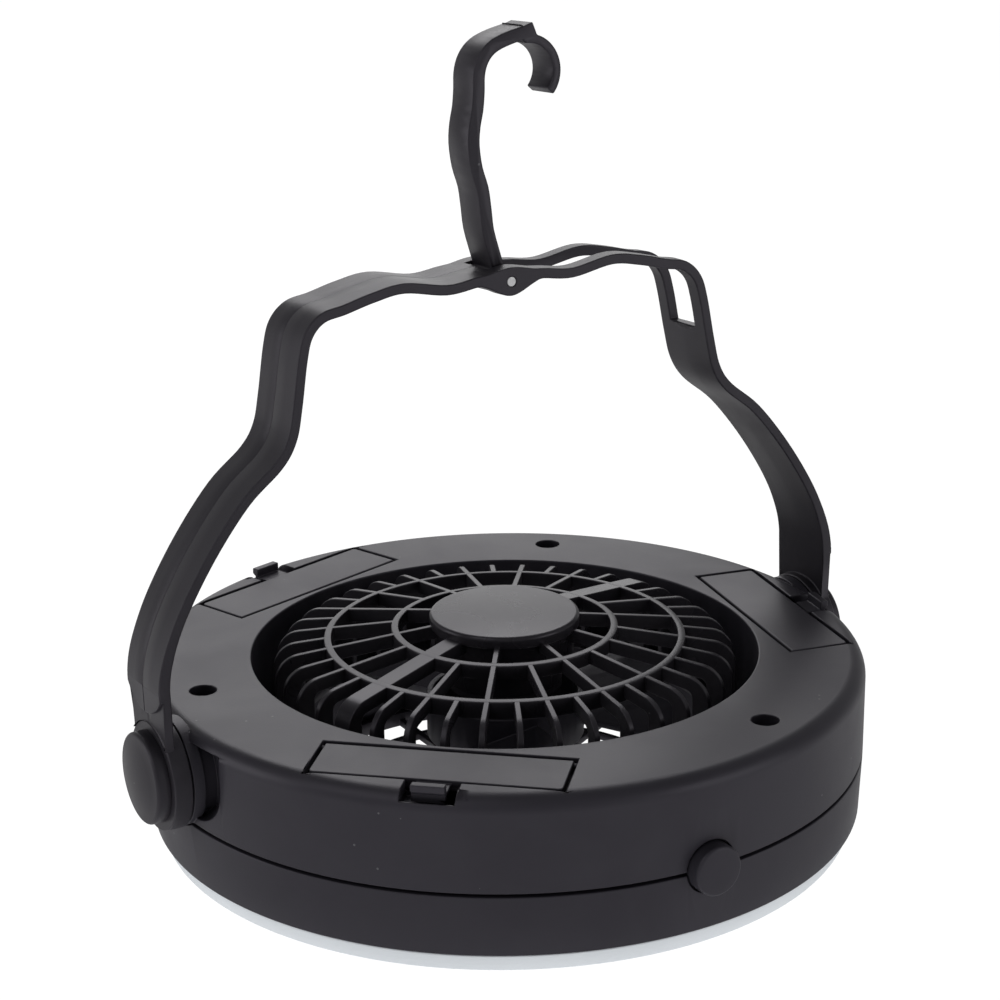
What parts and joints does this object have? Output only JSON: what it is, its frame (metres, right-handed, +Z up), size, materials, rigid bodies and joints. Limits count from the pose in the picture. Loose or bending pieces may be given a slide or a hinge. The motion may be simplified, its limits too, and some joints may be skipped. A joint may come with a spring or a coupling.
{
  "type": "portable camping fan",
  "caption": "Round battery camping fan with a caged central fan, a frosted ring light below, battery doors, a side push button, and a wavy swing handle with a fold-out hanging hook.",
  "frame": {"origin": "centre of the resting face, on the fan's axis", "axes": "+Z up along the fan's axis, X along the handle's hinge axis, push button at -Y"},
  "size_m": [0.1968, 0.1793, 0.1927],
  "materials": {
    "black_plastic": "fine moulded texture, black ABS",
    "frosted_plastic": "frosted translucent acrylic",
    "white_board": "white solder mask",
    "led_lens": "clear epoxy over a yellow phosphor",
    "bright_steel": "nickel plated",
    "white_nylon": "natural nylon",
    "switch_plastic": "black, plain",
    "cell_jacket": "plain grey shrink sleeve"
  },
  "bodies": {
    "housing": {"upper_case": "black_plastic", "lower_case": "black_plastic", "light_diffuser": "frosted_plastic", "led_board": "white_board", "leds": "led_lens", "intake_cage": "black_plastic", "outlet_grille": "black_plastic", "fan_motor": "bright_steel", "motor_end_cap": "white_nylon", "motor_retainer": "black_plastic", "motor_screws": "bright_steel", "cage_screws": "bright_steel", "case_screws": "bright_steel", "switch_body": "switch_plastic", "battery_front": "cell_jacket", "battery_right": "cell_jacket", "battery_rear": "cell_jacket", "battery_springs": "bright_steel", "battery_plates": "bright_steel", "pivot_screws": "bright_steel", "pivot_washers": "bright_steel"},
    "handle": {"carry_handle": "black_plastic", "hook_pin": "bright_steel", "pivot_cap_left": "black_plastic", "pivot_cap_right": "black_plastic"},
    "hook": {"hanging_hook": "black_plastic"},
    "fan": {"fan_impeller": "black_plastic", "motor_shaft": "bright_steel"},
    "button": {"push_button": "black_plastic", "switch_plunger": "white_nylon"},
    "door_front": {"door_front": "black_plastic"},
    "door_right": {"door_right": "black_plastic"},
    "door_rear": {"door_rear": "black_plastic"}
  },
  "joints": [
    {"name": "handle_swing", "type": "hinge", "parent": "housing", "child": "handle", "pos_m": [0, 0, 0.03], "axis": [1, 0, 0], "range_deg": [-87.65, 92.35]},
    {"name": "hook_fold", "type": "hinge", "parent": "handle", "child": "hook", "pos_m": [0, 0.00427, 0.13411], "axis": [0, 0.9992, -0.041], "range_deg": [0, 96]},
    {"name": "fan_spin", "type": "hinge", "parent": "housing", "child": "fan", "pos_m": [0, 0, 0.026], "axis": [0, 0, 1], "continuous": true},
    {"name": "button_press", "type": "slide", "parent": "housing", "child": "button", "axis": [0, 1, 0], "range_m": [0, 0.0015], "stiffness_N_per_m": 300},
    {"name": "door_front_hinge", "type": "hinge", "parent": "housing", "child": "door_front", "pos_m": [-0.04331, -0.04861, 0.0413], "axis": [-0.7466, 0.6652, 0], "range_deg": [0, 75]},
    {"name": "door_right_hinge", "type": "hinge", "parent": "housing", "child": "door_right", "pos_m": [0.06375, -0.0132, 0.0413], "axis": [-0.2028, -0.9792, 0], "range_deg": [0, 75]},
    {"name": "door_rear_hinge", "type": "hinge", "parent": "housing", "child": "door_rear", "pos_m": [-0.02044, 0.06181, 0.0413], "axis": [0.9494, 0.314, 0], "range_deg": [0, 75]}
  ]
}
